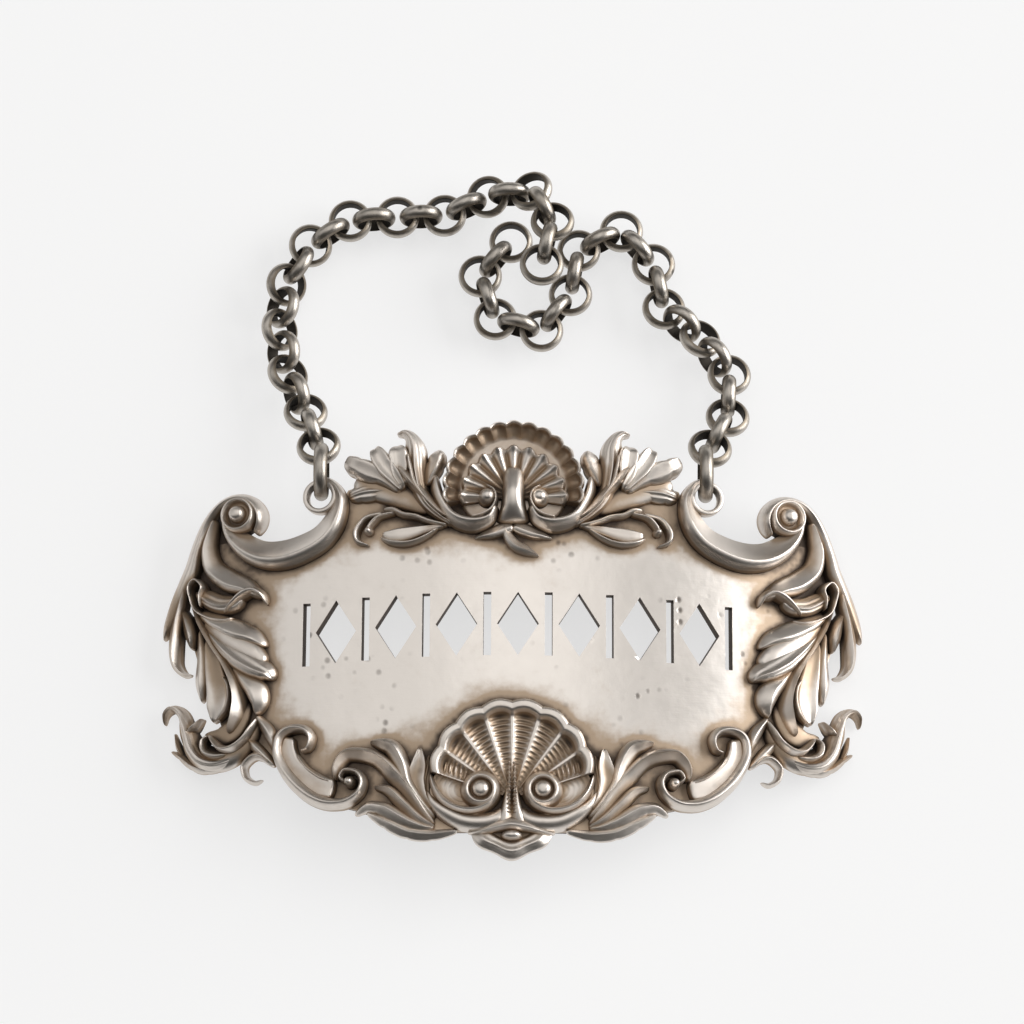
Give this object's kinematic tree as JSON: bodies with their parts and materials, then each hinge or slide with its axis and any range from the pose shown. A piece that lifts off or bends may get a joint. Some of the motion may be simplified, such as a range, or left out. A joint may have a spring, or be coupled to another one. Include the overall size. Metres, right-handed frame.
{
  "type": "silver wine label",
  "caption": "Bowed, pierced silver decanter label with a rococo border of scrolls, acanthus and shells, hung from a belcher chain.",
  "frame": {"origin": "under the middle of the plate, on the table that the label's two ends rest on", "axes": "+X to the right across the label, +Y to its top edge, +Z out of its front"},
  "size_m": [0.0546, 0.0565, 0.0089],
  "materials": {
    "field_plate": "polished silver with tarnish in the recesses",
    "left_c_scroll": "polished silver with tarnish in the recesses",
    "right_c_scroll": "polished silver with tarnish in the recesses",
    "left_eyelet": "polished silver with tarnish in the recesses",
    "right_eyelet": "polished silver with tarnish in the recesses",
    "left_side_leaf": "polished silver with tarnish in the recesses",
    "right_side_leaf": "polished silver with tarnish in the recesses",
    "left_lower_leaf": "polished silver with tarnish in the recesses",
    "right_lower_leaf": "polished silver with tarnish in the recesses",
    "crest_fan": "polished silver with tarnish in the recesses",
    "crest_shell": "polished silver with tarnish in the recesses",
    "left_crest_spray": "polished silver with tarnish in the recesses",
    "right_crest_spray": "polished silver with tarnish in the recesses",
    "husk": "polished silver with tarnish in the recesses",
    "base_shell": "polished silver with tarnish in the recesses",
    "left_base_volute": "polished silver with tarnish in the recesses",
    "right_base_volute": "polished silver with tarnish in the recesses",
    "left_base_scroll": "polished silver with tarnish in the recesses",
    "right_base_scroll": "polished silver with tarnish in the recesses",
    "left_base_spray": "polished silver with tarnish in the recesses",
    "right_base_spray": "polished silver with tarnish in the recesses",
    "base_lip": "polished silver with tarnish in the recesses",
    "left_ring": "oxidised silver",
    "left_link_01": "oxidised silver",
    "left_link_02": "oxidised silver",
    "left_link_03": "oxidised silver",
    "left_link_04": "oxidised silver",
    "left_link_05": "oxidised silver",
    "left_link_06": "oxidised silver",
    "left_link_07": "oxidised silver",
    "left_link_08": "oxidised silver",
    "left_link_09": "oxidised silver",
    "left_link_10": "oxidised silver",
    "left_link_11": "oxidised silver",
    "left_link_12": "oxidised silver",
    "left_link_13": "oxidised silver",
    "left_link_14": "oxidised silver",
    "left_link_15": "oxidised silver",
    "left_link_16": "oxidised silver",
    "left_link_17": "oxidised silver",
    "left_link_18": "oxidised silver",
    "left_link_19": "oxidised silver",
    "tail_1": "oxidised silver",
    "tail_2": "oxidised silver",
    "right_ring": "oxidised silver",
    "right_link_01": "oxidised silver",
    "right_link_02": "oxidised silver",
    "right_link_03": "oxidised silver",
    "right_link_04": "oxidised silver",
    "right_link_05": "oxidised silver",
    "right_link_06": "oxidised silver",
    "right_link_07": "oxidised silver",
    "right_link_08": "oxidised silver",
    "right_link_09": "oxidised silver",
    "right_link_10": "oxidised silver",
    "knot_1": "oxidised silver",
    "knot_2": "oxidised silver",
    "knot_3": "oxidised silver",
    "knot_4": "oxidised silver"
  },
  "bodies": {
    "label": {"field_plate": "field_plate", "left_c_scroll": "left_c_scroll", "right_c_scroll": "right_c_scroll", "left_eyelet": "left_eyelet", "right_eyelet": "right_eyelet", "left_side_leaf": "left_side_leaf", "right_side_leaf": "right_side_leaf", "left_lower_leaf": "left_lower_leaf", "right_lower_leaf": "right_lower_leaf", "crest_fan": "crest_fan", "crest_shell": "crest_shell", "left_crest_spray": "left_crest_spray", "right_crest_spray": "right_crest_spray", "husk": "husk", "base_shell": "base_shell", "left_base_volute": "left_base_volute", "right_base_volute": "right_base_volute", "left_base_scroll": "left_base_scroll", "right_base_scroll": "right_base_scroll", "left_base_spray": "left_base_spray", "right_base_spray": "right_base_spray", "base_lip": "base_lip"},
    "left_ring": {"left_ring": "left_ring"},
    "left_link_01": {"left_link_01": "left_link_01"},
    "left_link_02": {"left_link_02": "left_link_02"},
    "left_link_03": {"left_link_03": "left_link_03"},
    "left_link_04": {"left_link_04": "left_link_04"},
    "left_link_05": {"left_link_05": "left_link_05"},
    "left_link_06": {"left_link_06": "left_link_06"},
    "left_link_07": {"left_link_07": "left_link_07"},
    "left_link_08": {"left_link_08": "left_link_08"},
    "left_link_09": {"left_link_09": "left_link_09"},
    "left_link_10": {"left_link_10": "left_link_10"},
    "left_link_11": {"left_link_11": "left_link_11"},
    "left_link_12": {"left_link_12": "left_link_12"},
    "left_link_13": {"left_link_13": "left_link_13"},
    "left_link_14": {"left_link_14": "left_link_14"},
    "left_link_15": {"left_link_15": "left_link_15"},
    "left_link_16": {"left_link_16": "left_link_16"},
    "left_link_17": {"left_link_17": "left_link_17"},
    "left_link_18": {"left_link_18": "left_link_18"},
    "left_link_19": {"left_link_19": "left_link_19"},
    "tail_1": {"tail_1": "tail_1"},
    "tail_2": {"tail_2": "tail_2"},
    "right_ring": {"right_ring": "right_ring"},
    "right_link_01": {"right_link_01": "right_link_01"},
    "right_link_02": {"right_link_02": "right_link_02"},
    "right_link_03": {"right_link_03": "right_link_03"},
    "right_link_04": {"right_link_04": "right_link_04"},
    "right_link_05": {"right_link_05": "right_link_05"},
    "right_link_06": {"right_link_06": "right_link_06"},
    "right_link_07": {"right_link_07": "right_link_07"},
    "right_link_08": {"right_link_08": "right_link_08"},
    "right_link_09": {"right_link_09": "right_link_09"},
    "right_link_10": {"right_link_10": "right_link_10"},
    "knot_1": {"knot_1": "knot_1"},
    "knot_2": {"knot_2": "knot_2"},
    "knot_3": {"knot_3": "knot_3"},
    "knot_4": {"knot_4": "knot_4"}
  },
  "joints": [
    {"name": "left_ring_swing", "type": "hinge", "parent": "label", "child": "left_ring", "pos_m": [-0.01502, 0.01298, 0.00501], "axis": [1, 0, 0], "range_deg": [-5, 25]},
    {"name": "left_link_01_turn", "type": "hinge", "parent": "left_ring", "child": "left_link_01", "pos_m": [-0.01502, 0.01583, 0.00432], "axis": [0, -0.3337, -0.9427], "range_deg": [-25, 0]},
    {"name": "left_link_02_turn", "type": "hinge", "parent": "left_link_01", "child": "left_link_02", "pos_m": [-0.01579, 0.0175, 0.00363], "axis": [0.9468, 0.3191, -0.0414], "range_deg": [-10, 25]},
    {"name": "left_link_03_turn", "type": "hinge", "parent": "left_link_02", "child": "left_link_03", "pos_m": [-0.01637, 0.01909, 0.00276], "axis": [-0.0866, 0.414, 0.9062], "range_deg": [-3, 5]},
    {"name": "left_link_04_turn", "type": "hinge", "parent": "left_link_03", "child": "left_link_04", "pos_m": [-0.01711, 0.02072, 0.00214], "axis": [-0.9082, -0.3617, 0.2105], "range_deg": [-25, 15]},
    {"name": "left_link_05_turn", "type": "hinge", "parent": "left_link_04", "child": "left_link_05", "pos_m": [-0.01786, 0.02247, 0.0019], "axis": [-0.2705, -0.3309, -0.9041], "range_deg": [-25, 0]},
    {"name": "left_link_06_turn", "type": "hinge", "parent": "left_link_05", "child": "left_link_06", "pos_m": [-0.01842, 0.02426, 0.00162], "axis": [0.8261, 0.1564, -0.5414], "range_deg": [-25, 15]},
    {"name": "left_link_07_turn", "type": "hinge", "parent": "left_link_06", "child": "left_link_07", "pos_m": [-0.01866, 0.02617, 0.0018], "axis": [0.6517, 0.1315, 0.747], "range_deg": [0, 25]},
    {"name": "left_link_08_turn", "type": "hinge", "parent": "left_link_07", "child": "left_link_08", "pos_m": [-0.01867, 0.02805, 0.00167], "axis": [-0.7062, 0.0876, 0.7026], "range_deg": [-5, 25]},
    {"name": "left_link_09_turn", "type": "hinge", "parent": "left_link_08", "child": "left_link_09", "pos_m": [-0.01831, 0.02993, 0.0018], "axis": [-0.6595, 0.084, -0.747], "range_deg": [-25, 0]},
    {"name": "left_link_10_turn", "type": "hinge", "parent": "left_link_09", "child": "left_link_10", "pos_m": [-0.01759, 0.03167, 0.00166], "axis": [0.7312, -0.4139, -0.5423], "range_deg": [-15, 25]},
    {"name": "left_link_11_turn", "type": "hinge", "parent": "left_link_10", "child": "left_link_11", "pos_m": [-0.01657, 0.03328, 0.0018], "axis": [0.333, -0.1885, 0.9239], "range_deg": [0, 25]},
    {"name": "left_link_12_turn", "type": "hinge", "parent": "left_link_11", "child": "left_link_12", "pos_m": [-0.01513, 0.03447, 0.00173], "axis": [-0.5438, 0.8158, 0.1969], "range_deg": [-25, 5]},
    {"name": "left_link_13_turn", "type": "hinge", "parent": "left_link_12", "child": "left_link_13", "pos_m": [-0.01354, 0.03551, 0.0018], "axis": [-0.0322, 0.0484, -0.9983], "range_deg": [-25, 0]},
    {"name": "left_link_14_turn", "type": "hinge", "parent": "left_link_13", "child": "left_link_14", "pos_m": [-0.01171, 0.03585, 0.0018], "axis": [0.0896, -0.996, 0], "range_deg": [-5, 25]},
    {"name": "left_link_15_turn", "type": "hinge", "parent": "left_link_14", "child": "left_link_15", "pos_m": [-0.00982, 0.03603, 0.0018], "axis": [0, 0, 1], "range_deg": [-5, 25]},
    {"name": "left_link_16_turn", "type": "hinge", "parent": "left_link_15", "child": "left_link_16", "pos_m": [-0.00792, 0.03612, 0.00179], "axis": [-0.0438, 0.999, -0.0001], "range_deg": [-25, 5]},
    {"name": "left_link_17_turn", "type": "hinge", "parent": "left_link_16", "child": "left_link_17", "pos_m": [-0.00602, 0.03621, 0.00178], "axis": [-0.007, -0.0003, -1], "range_deg": [-25, 5]},
    {"name": "left_link_18_turn", "type": "hinge", "parent": "left_link_17", "child": "left_link_18", "pos_m": [-0.00424, 0.03681, 0.00187], "axis": [0.3823, -0.924, 0.0108], "range_deg": [-15, 25]},
    {"name": "left_link_19_turn", "type": "hinge", "parent": "left_link_18", "child": "left_link_19", "pos_m": [-0.00251, 0.03753, 0.00222], "axis": [-0.1198, -0.0498, 0.9915], "range_deg": [-25, 25]},
    {"name": "tail_1_turn", "type": "hinge", "parent": "left_link_19", "child": "tail_1", "pos_m": [-0.00069, 0.03768, 0.00266], "axis": [-0.0164, 0.9986, 0.0506], "range_deg": [-25, 15]},
    {"name": "tail_2_turn", "type": "hinge", "parent": "tail_1", "child": "tail_2", "pos_m": [0.00284, 0.03488, 0.00507], "axis": [-0.1847, 0.3418, 0.9215], "range_deg": [-25, 25]},
    {"name": "right_ring_swing", "type": "hinge", "parent": "label", "child": "right_ring", "pos_m": [0.01502, 0.01298, 0.00501], "axis": [1, 0, 0], "range_deg": [-25, 5]},
    {"name": "right_link_01_turn", "type": "hinge", "parent": "right_ring", "child": "right_link_01", "pos_m": [0.01502, 0.01583, 0.00432], "axis": [0, -0.3339, -0.9426], "range_deg": [-5, 25]},
    {"name": "right_link_02_turn", "type": "hinge", "parent": "right_link_01", "child": "right_link_02", "pos_m": [0.01604, 0.01742, 0.00362], "axis": [0.9064, -0.4185, 0.0566], "range_deg": [-25, 10]},
    {"name": "right_link_03_turn", "type": "hinge", "parent": "right_link_02", "child": "right_link_03", "pos_m": [0.01678, 0.0189, 0.00267], "axis": [0.1989, 0.4006, 0.8944], "range_deg": [-25, 5]},
    {"name": "right_link_04_turn", "type": "hinge", "parent": "right_link_03", "child": "right_link_04", "pos_m": [0.01699, 0.02064, 0.00201], "axis": [-0.996, 0.0642, 0.0624], "range_deg": [-5, 25]},
    {"name": "right_link_05_turn", "type": "hinge", "parent": "right_link_04", "child": "right_link_05", "pos_m": [0.01711, 0.02256, 0.00186], "axis": [-0.0098, -0.1855, -0.9826], "range_deg": [-25, 0]},
    {"name": "right_link_06_turn", "type": "hinge", "parent": "right_link_05", "child": "right_link_06", "pos_m": [0.0162, 0.02413, 0.00173], "axis": [0.786, 0.597, -0.1607], "range_deg": [-25, 5]},
    {"name": "right_link_07_turn", "type": "hinge", "parent": "right_link_06", "child": "right_link_07", "pos_m": [0.01506, 0.02565, 0.0018], "axis": [0.3019, 0.2279, 0.9257], "range_deg": [-25, 25]},
    {"name": "right_link_08_turn", "type": "hinge", "parent": "right_link_07", "child": "right_link_08", "pos_m": [0.01371, 0.02698, 0.00187], "axis": [-0.5683, -0.6551, 0.498], "range_deg": [0, 25]},
    {"name": "right_link_09_turn", "type": "hinge", "parent": "right_link_08", "child": "right_link_09", "pos_m": [0.01224, 0.0282, 0.0018], "axis": [-0.2478, -0.2857, -0.9257], "range_deg": [-25, 25]},
    {"name": "right_link_10_turn", "type": "hinge", "parent": "right_link_09", "child": "right_link_10", "pos_m": [0.01162, 0.02993, 0.00174], "axis": [0.9682, 0.2148, -0.1286], "range_deg": [-25, 15]},
    {"name": "knot_1_turn", "type": "hinge", "parent": "right_link_10", "child": "knot_1", "pos_m": [0.01122, 0.03179, 0.0018], "axis": [0, 0, 1], "range_deg": [0, 25]},
    {"name": "knot_2_turn", "type": "hinge", "parent": "knot_1", "child": "knot_2", "pos_m": [0.00549, 0.03346, 0.0018], "axis": [0, 0, 1], "range_deg": [0, 25]},
    {"name": "knot_3_turn", "type": "hinge", "parent": "knot_2", "child": "knot_3", "pos_m": [0.0024, 0.02684, 0.0018], "axis": [0, 0, 1], "range_deg": [-5, 25]},
    {"name": "knot_4_turn", "type": "hinge", "parent": "knot_3", "child": "knot_4", "pos_m": [-0.00262, 0.03074, 0.0018], "axis": [0, 0, 1], "range_deg": [-10, 10]}
  ]
}
